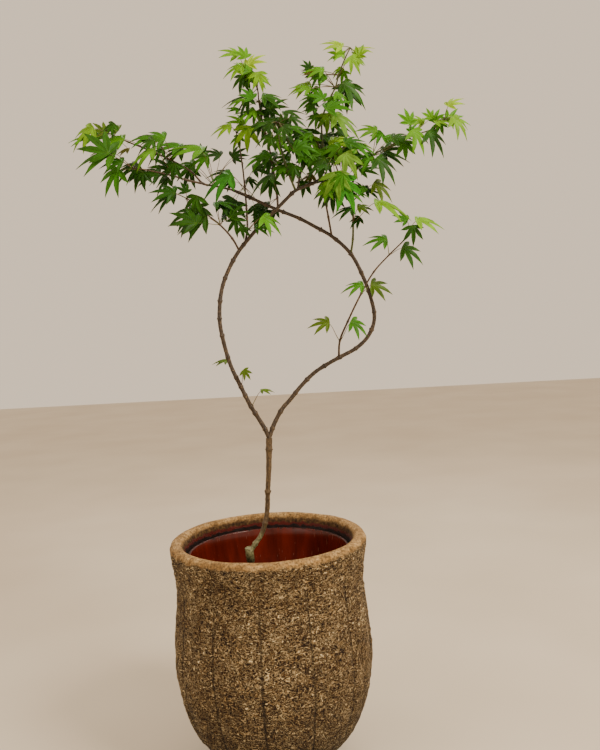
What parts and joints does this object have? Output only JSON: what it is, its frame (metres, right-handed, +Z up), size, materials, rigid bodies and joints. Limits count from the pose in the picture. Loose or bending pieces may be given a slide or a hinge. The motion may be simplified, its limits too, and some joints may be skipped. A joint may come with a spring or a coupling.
{
  "type": "potted japanese maple",
  "caption": "Young Japanese maple with two bowed stems that cross under a spreading crown, in a tall textured stoneware planter with a glazed inner pot.",
  "frame": {"origin": "centre of the planter's foot, on the surface it stands on", "axes": "+Z up along the planter's axis, -Y is the front, +X is to the right seen from the front"},
  "size_m": [0.5259, 0.271, 0.9846],
  "materials": {
    "stoneware": "rough, combed unglazed clay",
    "glazed_clay": "glossy dark red-brown glaze",
    "soil": "dark bark compost, crumbly",
    "bark": "smooth young bark with ring scars",
    "young_twig": "smooth reddish-brown to green twig",
    "leaves": "thin soft leaf, satin, lets light through"
  },
  "bodies": {
    "root": {"planter": "stoneware", "inner_pot": "glazed_clay", "trunk": "bark", "right_stem": "bark", "left_stem": "bark", "lower_left_twig": "young_twig", "upright_left_twig": "young_twig", "left_arm": "young_twig", "left_arm_fork": "young_twig", "crossing_twig": "young_twig", "left_fork_twig": "young_twig", "right_fork_twig": "young_twig", "leader_twig": "young_twig", "inner_right_twig": "young_twig", "right_arm": "young_twig", "lower_right_twig": "young_twig", "soil": "soil", "left_stem_leaves_1": "leaves", "left_stem_leaves_2": "leaves", "lower_left_twig_leaves_1": "leaves", "lower_left_twig_leaves_2": "leaves", "upright_left_twig_leaves_1": "leaves", "upright_left_twig_leaves_2": "leaves", "upright_left_twig_leaves_3": "leaves", "right_stem_leaves_1": "leaves", "left_arm_leaves_1": "leaves", "left_arm_leaves_2": "leaves", "left_arm_leaves_3": "leaves", "left_arm_leaves_4": "leaves", "left_arm_fork_leaves_1": "leaves", "left_arm_fork_leaves_2": "leaves", "crossing_twig_leaves_1": "leaves", "crossing_twig_leaves_2": "leaves", "crossing_twig_leaves_3": "leaves", "crossing_twig_leaves_4": "leaves", "crossing_twig_leaves_5": "leaves", "crossing_twig_leaves_6": "leaves", "left_fork_twig_leaves_1": "leaves", "left_fork_twig_leaves_2": "leaves", "right_fork_twig_leaves_1": "leaves", "right_fork_twig_leaves_2": "leaves", "leader_twig_leaves_1": "leaves", "leader_twig_leaves_2": "leaves", "leader_twig_leaves_3": "leaves", "leader_twig_leaves_4": "leaves", "leader_twig_leaves_5": "leaves", "leader_twig_leaves_6": "leaves", "leader_twig_leaves_7": "leaves", "inner_right_twig_leaves_1": "leaves", "inner_right_twig_leaves_2": "leaves", "right_arm_leaves_1": "leaves", "right_arm_leaves_2": "leaves", "right_arm_leaves_3": "leaves", "right_arm_leaves_4": "leaves", "right_arm_leaves_5": "leaves", "right_arm_leaves_6": "leaves", "lower_right_twig_leaves_1": "leaves", "lower_right_twig_leaves_2": "leaves", "lower_right_twig_leaves_3": "leaves", "lower_right_twig_leaves_4": "leaves"}
  },
  "joints": []
}
